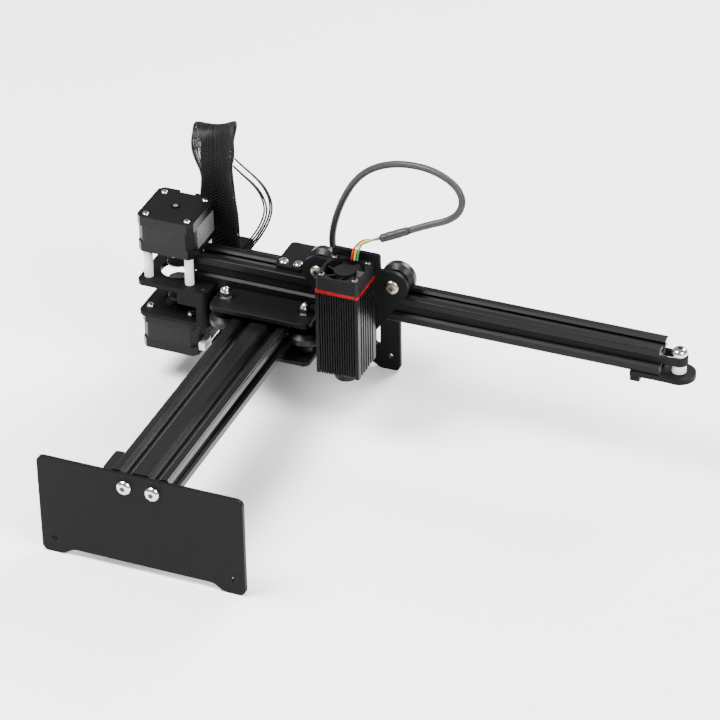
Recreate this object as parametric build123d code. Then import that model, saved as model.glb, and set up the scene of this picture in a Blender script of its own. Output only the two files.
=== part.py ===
from build123d import *
import math

# Desktop laser engraver: a flat 2040 V-slot rail on two foot plates carries a gantry,
# and the gantry's cantilevered 2020 V-slot beam carries the finned laser module.
# Millimetres, +Z up. Shapes are drawn from a datum with X = 0 on the base rail's
# centreline, Y = 0 on the front of the front foot plate and Z = 0 on the table.
# save() then moves them so that the origin is the bottom centre of the whole machine.

# ---- driving dimensions -------------------------------------------------------------
FIT = 0.05                    # radial clearance of a shaft that turns in a hole
GAP = 0.2                     # free gap beside a part that turns or slides

FOOT_T = 4.0                  # foot plates
FOOT_W = 146.0
REAR_FOOT_W = 141.0
FOOT_TOP = 75.0
FOOT_DROP = 5.0               # how far the feet stand below the plate's lower edge
FOOT_LEN = 15.0               # flat part of a foot, from the plate's side
FOOT_SLOPE = 8.0              # run of the slope from the foot up to the lower edge
FOOT_ROUND = 4.5
FOOT_HOLE_R = 2.0
FOOT_HOLE_X = 63.5
FOOT_HOLE_Z = 11.5
REAR_SLOT_W = 4.4
REAR_SLOT_X = 53.5
REAR_SLOT_Z = (19.0, 51.0)

RAIL_LEN = 276.0              # 2040 V-slot rail, laid flat along Y
RAIL_Z = 65.9
SECTION = 20.0                # one module of the V-slot section

WHEEL_R = 12.0                # V-wheel
WHEEL_W = 10.2
WHEEL_RIM = 4.0
WHEEL_OFFSET = 9.75           # axle to the face of the rail
BEARING_R = 8.0
M5_R = 2.5
M3_R = 1.5

GANTRY_Y = 230.0              # cross beam and both motor shafts
CARRIAGE_W = 74.0
CARRIAGE_L = 74.0
CARRIAGE_WHEEL_Y = 22.0       # wheels in front of and behind the cross beam
PLATE_T = 3.5
DECK_TOP = 83.5               # top of the upper plates, underside of the cross beam
LOWER_DECK = (49.5, 52.5)

BEAM_X = (-57.5, 279.0)       # 2020 V-slot cross beam
MOTOR_X = -75.5
MOTOR_W = 42.3
MOTOR_LEN = 28.0
MOTOR_CAP = 7.3
MOTOR_BOLT = 15.5             # half of the 31 mm screw square
MOTOR_PLATE_X = (-97.0, -43.0)
MOTOR_PLATE_Y = (205.5, 254.5)
X_MOTOR_FACE = 106.0          # mounting face of the inverted upper motor
Y_MOTOR_FACE = 55.0           # mounting face of the lower motor
Y_MOTOR_PLATE_T = 3.0

BELT_W = 6.0
BELT_T = 1.35
PULLEY_R = 6.1
BELT_IN = 6.25                # inner radius of a belt on its pulley
X_IDLER_R = 4.35
IDLER_X = 290.0
Y_IDLER_R = 4.5
Y_IDLER_X = -22.2
Y_IDLER_DY = 6.3

X_WHEELS = [("left", 36.0), ("right", 90.4)]
CARRIER_Y = (216.0, 219.0)    # the plate that carries the X wheels
EAR_R = 11.5
MODULE_W = 31.0               # laser module
MODULE_X = 63.9
MODULE_BACK = 213.0
MODULE_Z = (56.0, 120.0)
BAND_T = 2.5
FAN_W = 31.0
FAN_T = 10.0

CABLE_R = 2.4
SHRINK_R = 3.1
WIRE_R = 0.65
SLEEVE_W = 27.0
SLEEVE_T = 5.0

RAIL_Y = (FOOT_T, FOOT_T + RAIL_LEN)
BEAM_Z = DECK_TOP + SECTION / 2
BEAM_FRONT = GANTRY_Y - SECTION / 2
BEAM_BACK = GANTRY_Y + SECTION / 2
BEAM_TOP = DECK_TOP + SECTION
DECK_LOW = DECK_TOP - PLATE_T
WHEEL_X = SECTION + WHEEL_OFFSET
WHEEL_YS = [("front", GANTRY_Y - CARRIAGE_WHEEL_Y), ("rear", GANTRY_Y + CARRIAGE_WHEEL_Y)]
CARRIER_WHEEL_Z = BEAM_TOP + WHEEL_OFFSET
LOW_WHEEL_Z = DECK_TOP - WHEEL_OFFSET
LOW_WHEEL_X = (X_WHEELS[0][1] + X_WHEELS[1][1]) / 2
MODULE_Y = MODULE_BACK - MODULE_W / 2
FAN_Z = MODULE_Z[1] + BAND_T
ORIGIN_X = (MOTOR_PLATE_X[0] + IDLER_X + EAR_R) / 2
ORIGIN_Y = (RAIL_Y[1] + FOOT_T) / 2


# ---- helpers ------------------------------------------------------------------------
def save(name, *solids):
    """Write one sub-part, moved to the machine's origin."""
    moved = [Pos(-ORIGIN_X, -ORIGIN_Y, 0) * s for s in solids]
    shape = moved[0] if len(moved) == 1 else Compound(children=[s.solids()[0] for s in moved])
    export_step(shape, f"parts/{name}.step")


def block(x, y, z):
    """A box between two limits on each axis."""
    size = [abs(b - a) for a, b in (x, y, z)]
    middle = [(a + b) / 2 for a, b in (x, y, z)]
    return Pos(*middle) * Box(*size)


def post(x, y, z, r, hole=0.0):
    """An upright cylinder between two heights, with a hole if one is given."""
    height = z[1] - z[0]
    solid = Cylinder(r, height)
    if hole:
        solid -= Cylinder(hole, height + 1)
    return Pos(x, y, (z[0] + z[1]) / 2) * solid


def pin_y(x, z, y, r, hole=0.0):
    """A cylinder along Y between two depths."""
    solid = Cylinder(r, y[1] - y[0])
    if hole:
        solid -= Cylinder(hole, y[1] - y[0] + 1)
    return Pos(x, (y[0] + y[1]) / 2, z) * Rot(90, 0, 0) * solid


def plate(outline, z):
    """A flat sketch made into a level plate between two heights."""
    return Pos(0, 0, z[0]) * extrude(outline, z[1] - z[0])


def upright(outline, y):
    """A sketch drawn in X and Z made into an upright plate between two depths."""
    return Pos(0, y[1], 0) * Rot(90, 0, 0) * extrude(outline, y[1] - y[0])


def button_screw(head_r, head_h, shank_r, length):
    """Domed screw along +Z with a hexagon socket; the head rests on z = 0."""
    rim = head_h * 0.3
    crown = head_r * 0.45
    with BuildSketch(Plane.XZ) as half:
        with BuildLine():
            Polyline((0, head_h), (0, -length), (shank_r, -length), (shank_r, 0), (head_r, 0), (head_r, rim))
            ThreePointArc((head_r, rim), (head_r * 0.82, head_h * 0.78), (crown, head_h))
            Line((crown, head_h), (0, head_h))
        make_face()
    screw = revolve(half.sketch, Axis.Z)
    socket = extrude(RegularPolygon(head_r * 0.36, 6), head_h)
    return screw - Pos(0, 0, head_h * 0.35) * socket


def acorn_nut():
    """Domed M5 nut on a flange washer; the washer rests on z = 0."""
    hexagon = Pos(0, 0, 1.0) * extrude(RegularPolygon(4.6, 6), 4.0)
    dome = Pos(0, 0, 5.0) * (Sphere(3.7) & Pos(0, 0, 2.5) * Box(10, 10, 5))
    nut = Pos(0, 0, 0.5) * Cylinder(5.2, 1.0) + hexagon + dome
    return nut - Pos(0, 0, 2.4) * Cylinder(M5_R, 5.0)


def slot_cut(offset, angle, length):
    """The V-slot's channel, cut inwards from a face `offset` away from the centre."""
    wide, throat, cavity, floor = 4.6, 3.1, 5.5, 2.8
    half = [(wide, -1), (wide, 0), (throat, 1.5), (throat, 2.0), (cavity, 2.0), (cavity, 3.4), (floor, 6.1)]
    outline = [(u, offset - d) for u, d in half] + [(-u, offset - d) for u, d in reversed(half)]
    return extrude(Rot(0, 0, angle) * make_face(Polyline(*outline, close=True)), length)


def v_slot(modules, length):
    """V-slot section of one or two modules side by side along X, extruded up Z."""
    centres = [0.0] if modules == 1 else [-SECTION / 2, SECTION / 2]
    outline = RectangleRounded(SECTION * modules, SECTION, 1.0)
    for x in centres:
        outline -= Pos(x, 0) * Circle(2.1)
    bar = extrude(outline, length)
    for x in centres:
        for angle in (0, 180):
            bar -= Pos(x, 0, 0) * slot_cut(SECTION / 2, angle, length)
    for angle in (90, -90):
        bar -= slot_cut(SECTION * modules / 2, angle, length)
    if modules == 2:
        bar -= extrude(RectangleRounded(5.4, 12.0, 1.0), length)
    return bar


def v_wheel():
    """Moulded tyre and its two bearings, axis along Z, centred."""
    half_w, half_rim, hub = WHEEL_W / 2, WHEEL_RIM / 2, WHEEL_R - (WHEEL_W - WHEEL_RIM) / 2
    profile = [(BEARING_R, -half_w), (hub, -half_w), (WHEEL_R, -half_rim),
               (WHEEL_R, half_rim), (hub, half_w), (BEARING_R, half_w)]
    tyre = revolve(Plane.XZ * make_face(Polyline(*profile, close=True)), Axis.Z)
    bearings = []
    for side in (-1, 1):
        ring = Cylinder(BEARING_R, 4.8) - Cylinder(M5_R + FIT, 6)
        groove = Cylinder(6.6, 1.2) - Cylinder(4.4, 1.4)
        bearings.append(Pos(0, 0, side * 2.5) * (ring - Pos(0, 0, side * 2.4) * groove))
    return [tyre] + bearings


def tube(points, radii, r):
    """A round tube along straight runs joined by tangent arcs."""
    path = FilletPolyline(*points, radius=radii)
    start = Plane(origin=path @ 0, z_dir=path % 0)
    solid = sweep(start * Circle(r), path=path)
    print("   volume over section times length", round(solid.volume / (math.pi * r * r * path.length), 4),
          "length", round(path.length, 1))
    return solid


def arc_radii(points):
    """The largest arc that each corner's two runs leave room for."""
    radii = []
    for a, b, c in zip(points, points[1:], points[2:]):
        run_in = Vector(*b) - Vector(*a)
        run_out = Vector(*c) - Vector(*b)
        turn = math.radians(run_in.get_angle(run_out))
        radii.append(0.45 * min(run_in.length, run_out.length) / math.tan(turn / 2))
    return radii


def cord(name, points, r):
    """A free cord's tube, with its radii printed."""
    radii = arc_radii(points)
    print(name, "radii", [round(x) for x in radii])
    return tube(points, radii, r)


# ---- base: rail, foot plates, belt --------------------------------------------------
def foot_plate(y, width, slots):
    """Plate with a foot at each side and the holes for the rail's screws."""
    side_x, foot_x = width / 2, width / 2 - FOOT_LEN
    half = [(foot_x - FOOT_SLOPE, FOOT_DROP), (foot_x, 0), (side_x, 0), (side_x, FOOT_TOP)]
    corners = half + [(-x, z) for x, z in reversed(half)]
    outline = make_face(Polyline(*corners, close=True))
    slopes = [v for v in outline.vertices() if abs(v.X) < foot_x + 0.1]
    outline = fillet(slopes, FOOT_SLOPE)
    corners = [v for v in outline.vertices() if abs(abs(v.X) - side_x) < 0.1]
    outline = fillet(corners, FOOT_ROUND)
    for side in (-1, 1):
        outline -= Pos(side * FOOT_HOLE_X, FOOT_HOLE_Z) * Circle(FOOT_HOLE_R)
        outline -= Pos(side * SECTION / 2, RAIL_Z) * Circle(M5_R)
        if slots:
            low, high = REAR_SLOT_Z
            slot = SlotOverall(high - low, REAR_SLOT_W, rotation=90)
            outline -= Pos(side * REAR_SLOT_X, (low + high) / 2) * slot
    solid = upright(outline, y)
    return chamfer(solid.faces().filter_by(Axis.Y).edges().filter_by(GeomType.LINE).filter_by(Axis.X), 0.4)


save("y_beam", Pos(0, RAIL_Y[1], RAIL_Z) * Rot(90, 0, 0) * v_slot(2, RAIL_LEN))
save("front_foot_plate", foot_plate((0, FOOT_T), FOOT_W, False))
save("rear_foot_plate", foot_plate((RAIL_Y[1], RAIL_Y[1] + FOOT_T), REAR_FOOT_W, True))

BELT_RUN_X = (-SECTION + 4.4, -SECTION + 5.6)
ANCHORS = [(RAIL_Y[0], RAIL_Y[0] + 21.0), (RAIL_Y[1] - 10.0, RAIL_Y[1])]
base_screws = []
for x in (-SECTION / 2, SECTION / 2):
    screw = button_screw(5.3, 3.0, 2.1, FOOT_T + 8)
    base_screws.append(Pos(x, 0, RAIL_Z) * Rot(90, 0, 0) * screw)
    base_screws.append(Pos(x, RAIL_Y[1] + FOOT_T, RAIL_Z) * Rot(-90, 0, 0) * screw)
anchors = []
for y in ANCHORS:
    body = block((-27.0, -SECTION - FIT), y, (57.5, 74.5))
    body = fillet(body.edges().filter_by(Axis.Z).sort_by(Axis.X)[:2], 2.0)
    tongue = block((-SECTION - 1, BELT_RUN_X[0] - FIT), (y[0] + 1, y[1] - 1), (RAIL_Z - 2.9, RAIL_Z + 2.9))
    middle = sum(y) / 2
    anchors.append(body + tongue - Pos(-24, middle, RAIL_Z) * Rot(0, 90, 0) * Cylinder(M3_R, 16))
    grub = Pos(-27.0, middle, RAIL_Z) * Rot(0, -90, 0) * button_screw(2.8, 1.8, M3_R, 9)
    base_screws.append(grub)
save("belt_anchors", *anchors)
save("base_screws", *base_screws)
y_belt_z = (RAIL_Z - BELT_W / 2, RAIL_Z + BELT_W / 2)
save("y_belt", block(BELT_RUN_X, (RAIL_Y[0] + 0.5, RAIL_Y[1] - 0.5), y_belt_z))


# ---- gantry: plates, wheels, beam ---------------------------------------------------
WHEEL_SIDES = [("left", -WHEEL_X), ("right", WHEEL_X)]
WHEEL_SPOTS = [(side, x, end, y) for side, x in WHEEL_SIDES for end, y in WHEEL_YS]
CARRIAGE_X = (-CARRIAGE_W / 2, CARRIAGE_W / 2)
CARRIAGE_Y = (GANTRY_Y - CARRIAGE_L / 2, GANTRY_Y + CARRIAGE_L / 2)
DECK_SCREWS = [(-30.0, GANTRY_Y), (30.0, GANTRY_Y), (-50.0, GANTRY_Y)]
IDLER_POSTS = [("front", GANTRY_Y - Y_IDLER_DY), ("rear", GANTRY_Y + Y_IDLER_DY)]

for name, z in (("carriage_top_plate", (DECK_LOW, DECK_TOP)), ("carriage_bottom_plate", LOWER_DECK)):
    outline = Pos(0, GANTRY_Y) * RectangleRounded(CARRIAGE_W, CARRIAGE_L, 5.0)
    for _, x, _, y in WHEEL_SPOTS:
        outline -= Pos(x, y) * Circle(M5_R)
    if name == "carriage_top_plate":
        for x, y in DECK_SCREWS[:2]:
            outline -= Pos(x, y) * Circle(2.1)
        for _, y in IDLER_POSTS:
            outline -= Pos(Y_IDLER_X, y) * Circle(M3_R)
    solid = plate(outline, z)
    save(name, chamfer(solid.faces().sort_by(Axis.Z)[-1].outer_wire().edges(), 0.4))

wheel_low, wheel_high = RAIL_Z - WHEEL_W / 2, RAIL_Z + WHEEL_W / 2
wheel_bolts, acorn_nuts, standoffs = [], [], []
for side, x, end, y in WHEEL_SPOTS:
    save(f"y_wheel_{end}_{side}", *[Pos(x, y, RAIL_Z) * s for s in v_wheel()])
    bolt = button_screw(4.75, 2.7, M5_R, DECK_TOP + 4.4 - LOWER_DECK[0])
    wheel_bolts.append(Pos(x, y, LOWER_DECK[0]) * Rot(180, 0, 0) * bolt)
    acorn_nuts.append(Pos(x, y, DECK_TOP) * acorn_nut())
    standoffs.append(post(x, y, (LOWER_DECK[1], wheel_low - GAP), 4.5, M5_R))
    standoffs.append(post(x, y, (wheel_high + GAP, DECK_LOW), 4.5, M5_R))
save("acorn_nuts", *acorn_nuts)

BRACKET_SCREW_X = (5.0, 16.0)
BRACKET_T = 3.0
BRACKET_TOP = BEAM_TOP + BRACKET_T
IDLER_SCREW_X = 268.0
beam = Pos(BEAM_X[0], GANTRY_Y, BEAM_Z) * Rot(0, 90, 0) * v_slot(1, BEAM_X[1] - BEAM_X[0])
beam_screws = []
for x, y in DECK_SCREWS + [(IDLER_SCREW_X, GANTRY_Y)]:
    head = Pos(x, y, DECK_LOW) * Rot(180, 0, 0) * button_screw(4.5, 2.5, 2.1, 8.0)
    beam_screws.append(head)
for x in BRACKET_SCREW_X:
    beam_screws.append(Pos(x, GANTRY_Y, BRACKET_TOP) * button_screw(3.6, 2.1, 2.1, 8.0))
for x in [x for x, _ in DECK_SCREWS] + [IDLER_SCREW_X]:
    beam -= post(x, GANTRY_Y, (DECK_TOP - 1, DECK_TOP + 8), 2.1)
for x in BRACKET_SCREW_X:
    beam -= post(x, GANTRY_Y, (BEAM_TOP - 8, BEAM_TOP + 1), 2.1)
save("x_beam", beam)

# Motor plates: the upper one also carries the cross beam's end and the sleeve's clamps.
TONGUE_X = (-80.0, -41.0)
TONGUE_END = 285.0
BLOCK_X = (-66.0, -43.0)
BLOCK_Z = (71.0, DECK_LOW)
POSTS = [(MOTOR_X, 250.0), (-48.0, 248.0), (-48.0, 210.5)]
MOTOR_HOLES = [(MOTOR_X + sx * MOTOR_BOLT, GANTRY_Y + sy * MOTOR_BOLT) for sx in (-1, 1) for sy in (-1, 1)]


def motor_plate(z, hole_r, tongue):
    """Square plate under a motor; the upper one has a tongue at the back for the clamps."""
    (x0, x1), (y0, y1) = MOTOR_PLATE_X, MOTOR_PLATE_Y
    outline = Pos((x0 + x1) / 2, (y0 + y1) / 2) * RectangleRounded(x1 - x0, y1 - y0, 5.0)
    if tongue:
        strip = RectangleRounded(TONGUE_X[1] - TONGUE_X[0], TONGUE_END - y1 + 10, 4.0)
        outline += Pos(sum(TONGUE_X) / 2, (TONGUE_END + y1 - 10) / 2) * strip
    outline -= Pos(MOTOR_X, GANTRY_Y) * Circle(hole_r)
    for x, y in MOTOR_HOLES:
        outline -= Pos(x, y) * Circle(M3_R)
    for x, y in POSTS:
        outline -= Pos(x, y) * Circle(M3_R)
    return plate(outline, z)


upper = motor_plate((DECK_LOW, DECK_TOP), 12.5, True)
upper -= post(*DECK_SCREWS[2], (DECK_LOW - 1, DECK_TOP + 1), 2.1)
save("upper_motor_plate", upper)
lower_top = Y_MOTOR_FACE + Y_MOTOR_PLATE_T
save("lower_motor_plate", motor_plate((Y_MOTOR_FACE, lower_top), 11.2, False))
rib = block(BLOCK_X, (MOTOR_PLATE_Y[0], MOTOR_PLATE_Y[0] + 10), BLOCK_Z)
rib += block((BLOCK_X[1] - 9, BLOCK_X[1]), (MOTOR_PLATE_Y[0], MOTOR_PLATE_Y[0] + 10), (lower_top, BLOCK_Z[0]))
rib = fillet(rib.edges().filter_by(Axis.Z).sort_by(Axis.X)[-2:], 4.9)
rib -= post(*POSTS[2], (lower_top - 1, BLOCK_Z[1] + 1), M3_R)
rib -= post(*MOTOR_HOLES[2], (BLOCK_Z[0] - 1, BLOCK_Z[1] + 1), 3.6)
save("motor_plate_rib", rib)
post_screw = button_screw(2.8, 1.8, M3_R, DECK_TOP - Y_MOTOR_FACE)
wheel_bolts.append(Pos(*POSTS[0], DECK_TOP) * post_screw)
for x, y in POSTS[:2]:
    standoffs.append(post(x, y, (lower_top, DECK_LOW), 3.0, M3_R))
for x, y in POSTS[1:]:
    wheel_bolts.append(Pos(x, y, Y_MOTOR_FACE) * Rot(180, 0, 0) * post_screw)
save("wheel_bolts", *wheel_bolts)
save("spacer_sleeves", *standoffs)
save("nylon_spacers", *[post(x, y, (DECK_TOP, X_MOTOR_FACE), 3.2, M3_R) for x, y in MOTOR_HOLES])


# ---- stepper motors -----------------------------------------------------------------
def motor_slab(z, corner):
    """One layer of a motor body with its corners cut off."""
    outline = Rectangle(MOTOR_W, MOTOR_W)
    outline = chamfer(outline.vertices(), corner)
    outline = fillet(outline.vertices(), 0.8)
    return plate(outline, z)


def motor():
    """Front cap, laminations and rear cap, shaft up, mounting face at z = 0."""
    front = motor_slab((-MOTOR_CAP, 0), 3.4)
    stator = motor_slab((MOTOR_CAP - MOTOR_LEN, -MOTOR_CAP), 4.9)
    rear = motor_slab((-MOTOR_LEN, MOTOR_CAP - MOTOR_LEN), 3.4)
    front += post(0, 0, (-0.5, 2.0), 11.0)
    front -= post(0, 0, (-MOTOR_CAP - 1, 3), M5_R + FIT)
    front -= post(0, 0, (-MOTOR_CAP - 1, -4), 11.4)
    stator -= post(0, 0, (-MOTOR_LEN, 0), 11.4)
    rear -= post(0, 0, (-MOTOR_LEN - 1, 0), M5_R + FIT)
    rear -= post(0, 0, (-MOTOR_LEN + 4, 0), 11.4)
    rear -= post(0, 0, (-MOTOR_LEN - 1, -MOTOR_LEN + 0.5), 3.6)
    rear -= block((-6, 6), (MOTOR_W / 2 - 2.5, MOTOR_W / 2 + 1), (-MOTOR_LEN - 1, -MOTOR_LEN + 3))
    for sx in (-1, 1):
        for sy in (-1, 1):
            x, y = sx * MOTOR_BOLT, sy * MOTOR_BOLT
            front -= post(x, y, (-4, 1), M3_R)
            rear -= post(x, y, (-MOTOR_LEN - 1, -MOTOR_LEN + 4), M3_R)
            rear -= post(x, y, (-MOTOR_LEN - 1, -MOTOR_LEN + 1.2), 3.4)
    return front, stator, rear


def rotor(shaft_low, shaft_high):
    """Magnet rotor and its shaft."""
    magnet = post(0, 0, (-MOTOR_LEN + 5, -5), 11.0, M5_R)
    return [magnet, post(0, 0, (shaft_low, shaft_high), M5_R)]


X_MOTOR = Pos(MOTOR_X, GANTRY_Y, X_MOTOR_FACE) * Rot(180, 0, 180)
Y_MOTOR = Pos(MOTOR_X, GANTRY_Y, Y_MOTOR_FACE)
for name, place in (("x_motor", X_MOTOR), ("y_motor", Y_MOTOR)):
    front, stator, rear = motor()
    save(f"{name}_caps", place * front, place * rear)
    save(f"{name}_stator", place * stator)
save("x_motor_rotor", *[X_MOTOR * s for s in rotor(-MOTOR_LEN - 0.7, 20.0)])
save("y_motor_rotor", *[Y_MOTOR * s for s in rotor(-MOTOR_LEN + 1.5, 20.5)])

motor_screws = []
for sx in (-1, 1):
    for sy in (-1, 1):
        cap_screw = Pos(sx * MOTOR_BOLT, sy * MOTOR_BOLT, 1.2 - MOTOR_LEN) * Rot(180, 0, 0)
        cap_screw = cap_screw * button_screw(2.8, 2.0, M3_R, 2.8)
        motor_screws += [X_MOTOR * cap_screw, Y_MOTOR * cap_screw]
for x, y in MOTOR_HOLES:
    reach = X_MOTOR_FACE + 4 - DECK_LOW
    motor_screws.append(Pos(x, y, DECK_LOW) * Rot(180, 0, 0) * button_screw(2.8, 2.0, M3_R, reach))
    motor_screws.append(Pos(x, y, lower_top) * button_screw(2.8, 2.0, M3_R, Y_MOTOR_PLATE_T + 4))
save("gantry_screws", *beam_screws, *motor_screws)


def socket_shell():
    """White plug socket, opening along +X, its back at x = 0."""
    return block((0, 4.5), (-5.5, 5.5), (-3, 3)) - block((1.5, 6), (-4.5, 4.5), (-2.1, 2.1))


upper_z = X_MOTOR_FACE + 6.0
lower_z = Y_MOTOR_FACE - MOTOR_LEN + 7.0
save("motor_sockets",
     Pos(MOTOR_X - 3, GANTRY_Y + MOTOR_W / 2, upper_z) * Rot(0, 0, 90) * socket_shell(),
     Pos(MOTOR_X + MOTOR_W / 2, GANTRY_Y - 12, lower_z) * socket_shell())


# ---- belts, pulleys and idlers ------------------------------------------------------
def pulley(hub):
    """Timing pulley along +Z, its belt centred on z = 0 and its hub above."""
    solid = Cylinder(PULLEY_R, BELT_W + 0.8)
    for z in (-1, 1):
        solid += Pos(0, 0, z * (BELT_W / 2 + 0.8)) * Cylinder(8.0, 0.9)
    solid += post(0, 0, (BELT_W / 2 + 0.8, BELT_W / 2 + 0.8 + hub), 7.9)
    solid -= Pos(0, 0, BELT_W / 2 + 0.8 + hub * 0.6) * Rot(0, 90, 0) * Pos(0, 0, 6) * Cylinder(1.6, 8)
    return solid - Cylinder(M5_R, 60)


save("x_pulley", Pos(MOTOR_X, GANTRY_Y, BEAM_Z) * pulley(6.0))
save("y_pulley", Pos(MOTOR_X, GANTRY_Y, RAIL_Z) * pulley(6.0))


def belt_outline(offset):
    """The outline round the X motor's pulley and the smaller idler."""
    pulley_end = Pos(MOTOR_X, GANTRY_Y) * Circle(BELT_IN + offset)
    idler_end = Pos(IDLER_X, GANTRY_Y) * Circle(X_IDLER_R + 0.1 + offset)
    return make_hull([pulley_end.edge(), idler_end.edge()])


x_belt = belt_outline(BELT_T) - belt_outline(0)
save("x_belt", plate(x_belt, (BEAM_Z - BELT_W / 2, BEAM_Z + BELT_W / 2)))

# The Y belt leaves the rail's slot round two small idlers and loops round the lower pulley.
belt_mid = BELT_IN + BELT_T / 2
idler_belt = Y_IDLER_R + 0.1 + BELT_T / 2
reach_x = Y_IDLER_X - MOTOR_X
lift = Y_IDLER_DY
distance = math.hypot(reach_x, lift)
lean = math.atan2(lift, reach_x) - math.asin((belt_mid + idler_belt) / distance)
from_pulley = (MOTOR_X - belt_mid * math.sin(lean), GANTRY_Y + belt_mid * math.cos(lean))
at_idler = (Y_IDLER_X + idler_belt * math.sin(lean), GANTRY_Y + lift - idler_belt * math.cos(lean))
mid_angle = (lean - math.pi / 2) / 2
half_way = (Y_IDLER_X + idler_belt * math.cos(mid_angle), GANTRY_Y + lift + idler_belt * math.sin(mid_angle))
end = (Y_IDLER_X + idler_belt, GANTRY_Y + lift)


def mirrored(p):
    """The same point on the other side of the gantry's middle."""
    return (p[0], 2 * GANTRY_Y - p[1])


loop = Wire([
    ThreePointArc(end, half_way, at_idler).edge(),
    Line(at_idler, from_pulley).edge(),
    ThreePointArc(from_pulley, (MOTOR_X - belt_mid, GANTRY_Y), mirrored(from_pulley)).edge(),
    Line(mirrored(from_pulley), mirrored(at_idler)).edge(),
    ThreePointArc(mirrored(at_idler), mirrored(half_way), mirrored(end)).edge(),
])
section = Plane(origin=(*end, RAIL_Z), x_dir=(1, 0, 0), z_dir=(0, -1, 0)) * Rectangle(BELT_T, BELT_W)
save("y_belt_loop", sweep(section, path=Pos(0, 0, RAIL_Z) * loop, transition=Transition.RIGHT))

axles = []
for end_name, y in IDLER_POSTS:
    low, high = RAIL_Z - 2.8, RAIL_Z + 2.8
    save(f"y_idler_{end_name}", post(Y_IDLER_X, y, (low, high), Y_IDLER_R, M3_R + FIT))
    axles.append(post(Y_IDLER_X, y, (low - 0.5, DECK_TOP), M3_R))
idler_low, idler_high = DECK_TOP + 0.5, BEAM_Z + BELT_W / 2 + 1.0
roller = post(IDLER_X, GANTRY_Y, (idler_low, idler_high), X_IDLER_R, M5_R + FIT)
roller += post(IDLER_X, GANTRY_Y, (idler_low, BEAM_Z - BELT_W / 2 - 0.3), 4.9, M5_R + FIT)
save("x_idler_roller", roller)
cap = Pos(IDLER_X, GANTRY_Y, idler_high + 0.4) * button_screw(5.4, 4.2, M5_R, idler_high + 0.4 - DECK_LOW)
axles.append(cap)
save("idler_axles", *axles)

TAB_X = (259.0, 265.5)
bracket = block((TAB_X[0], IDLER_X), (BEAM_FRONT - 1, BEAM_BACK + 1), (DECK_LOW, DECK_TOP))
bracket += post(IDLER_X, GANTRY_Y, (DECK_LOW, DECK_TOP), EAR_R)
bracket += block(TAB_X, (BEAM_FRONT, BEAM_FRONT + 6), (DECK_LOW - 4.5, DECK_LOW))
bracket -= post(IDLER_X, GANTRY_Y, (DECK_LOW - 1, DECK_TOP + 1), M5_R)
bracket -= post(IDLER_SCREW_X, GANTRY_Y, (DECK_LOW - 1, DECK_TOP + 1), 2.1)
save("idler_bracket", bracket)


# ---- control bracket, housing and cable clamps --------------------------------------
WING_X = (0.0, 21.0)
STRIP_X = (0.0, 66.0)
STRIP_Y = (243.0, 257.0)
GLAND_X = 48.0
GLAND_Z = 97.2
WING_FRONT = BEAM_FRONT + 5.0
wing = Pos(sum(WING_X) / 2, (WING_FRONT + STRIP_Y[1]) / 2) * RectangleRounded(
    WING_X[1] - WING_X[0], STRIP_Y[1] - WING_FRONT, 3.0)
strip = Pos(sum(STRIP_X) / 2, sum(STRIP_Y) / 2) * RectangleRounded(
    STRIP_X[1] - STRIP_X[0], STRIP_Y[1] - STRIP_Y[0], 3.0)
outline = wing + strip
for x in BRACKET_SCREW_X:
    outline -= Pos(x, GANTRY_Y) * Circle(2.1)
save("control_bracket", plate(outline, (BEAM_TOP, BRACKET_TOP)))

HOUSING_Z = (93.0, BEAM_TOP)
WALL = 1.2
housing = block((STRIP_X[0] + 1, STRIP_X[1] - 1), (STRIP_Y[0] + 0.5, STRIP_Y[1] - 0.5), HOUSING_Z)
housing = fillet(housing.edges().filter_by(Axis.Z), 2.0)
room = block((STRIP_X[0] + 1 + WALL, STRIP_X[1] - 1 - WALL),
             (STRIP_Y[0] + 0.5 + WALL, STRIP_Y[1] - 0.5 - WALL), (HOUSING_Z[0] + WALL, HOUSING_Z[1] + 1))
usb = block((STRIP_X[1] - 9, STRIP_X[1] - 1), (246.0, 254.0), (96.4, 100.4))
gland_hole = pin_y(GLAND_X, GLAND_Z, (STRIP_Y[1] - 3, STRIP_Y[1] + 1), 3.2)
save("control_housing", housing - room - usb - gland_hole)
board = block((STRIP_X[0] + 4, STRIP_X[1] - 4), (245.4, 254.6), (94.8, 96.4))
chip = block((14, 24), (246, 254), (96.4, 98.0))
usb_shell = usb - block((STRIP_X[1] - 7, STRIP_X[1]), (246.6, 253.4), (97.0, 99.8))
save("control_board", board, chip, usb_shell)

SLEEVE_ENDS = [(-54.0, 256.5), (-65.0, 277.0)]
clamp_z = (DECK_TOP, DECK_TOP + 7.5)
clamps = []
for x, y in SLEEVE_ENDS:
    body = block((x - 15, x + 12), (y - 4.6, y + 4.6), clamp_z)
    clamps.append(fillet(body.edges().filter_by(Axis.Z), 2.0))
housing_back = STRIP_Y[1] - 0.5
gland = pin_y(GLAND_X, GLAND_Z, (housing_back - WALL, housing_back + 3.5), 3.2, CABLE_R)
gland += pin_y(GLAND_X, GLAND_Z, (housing_back, housing_back + 2.5), 4.2, CABLE_R)
save("cable_clamps", *clamps, gland)


# ---- cords on the gantry ------------------------------------------------------------
def flat_cord(points, width, thick):
    """A flat braided sleeve along straight runs joined by tangent arcs."""
    radii = arc_radii(points)
    print("cable_sleeve radii", [round(x) for x in radii])
    path = FilletPolyline(*points, radius=radii)
    start = Plane(origin=path @ 0, z_dir=path % 0, x_dir=(1, 0, 0))
    band = start * RectangleRounded(width, thick, thick * 0.48)
    solid = sweep(band, path=path)
    print("   volume over section times length", round(solid.volume / (band.area * path.length), 4),
          "length", round(path.length, 1))
    return solid


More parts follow.
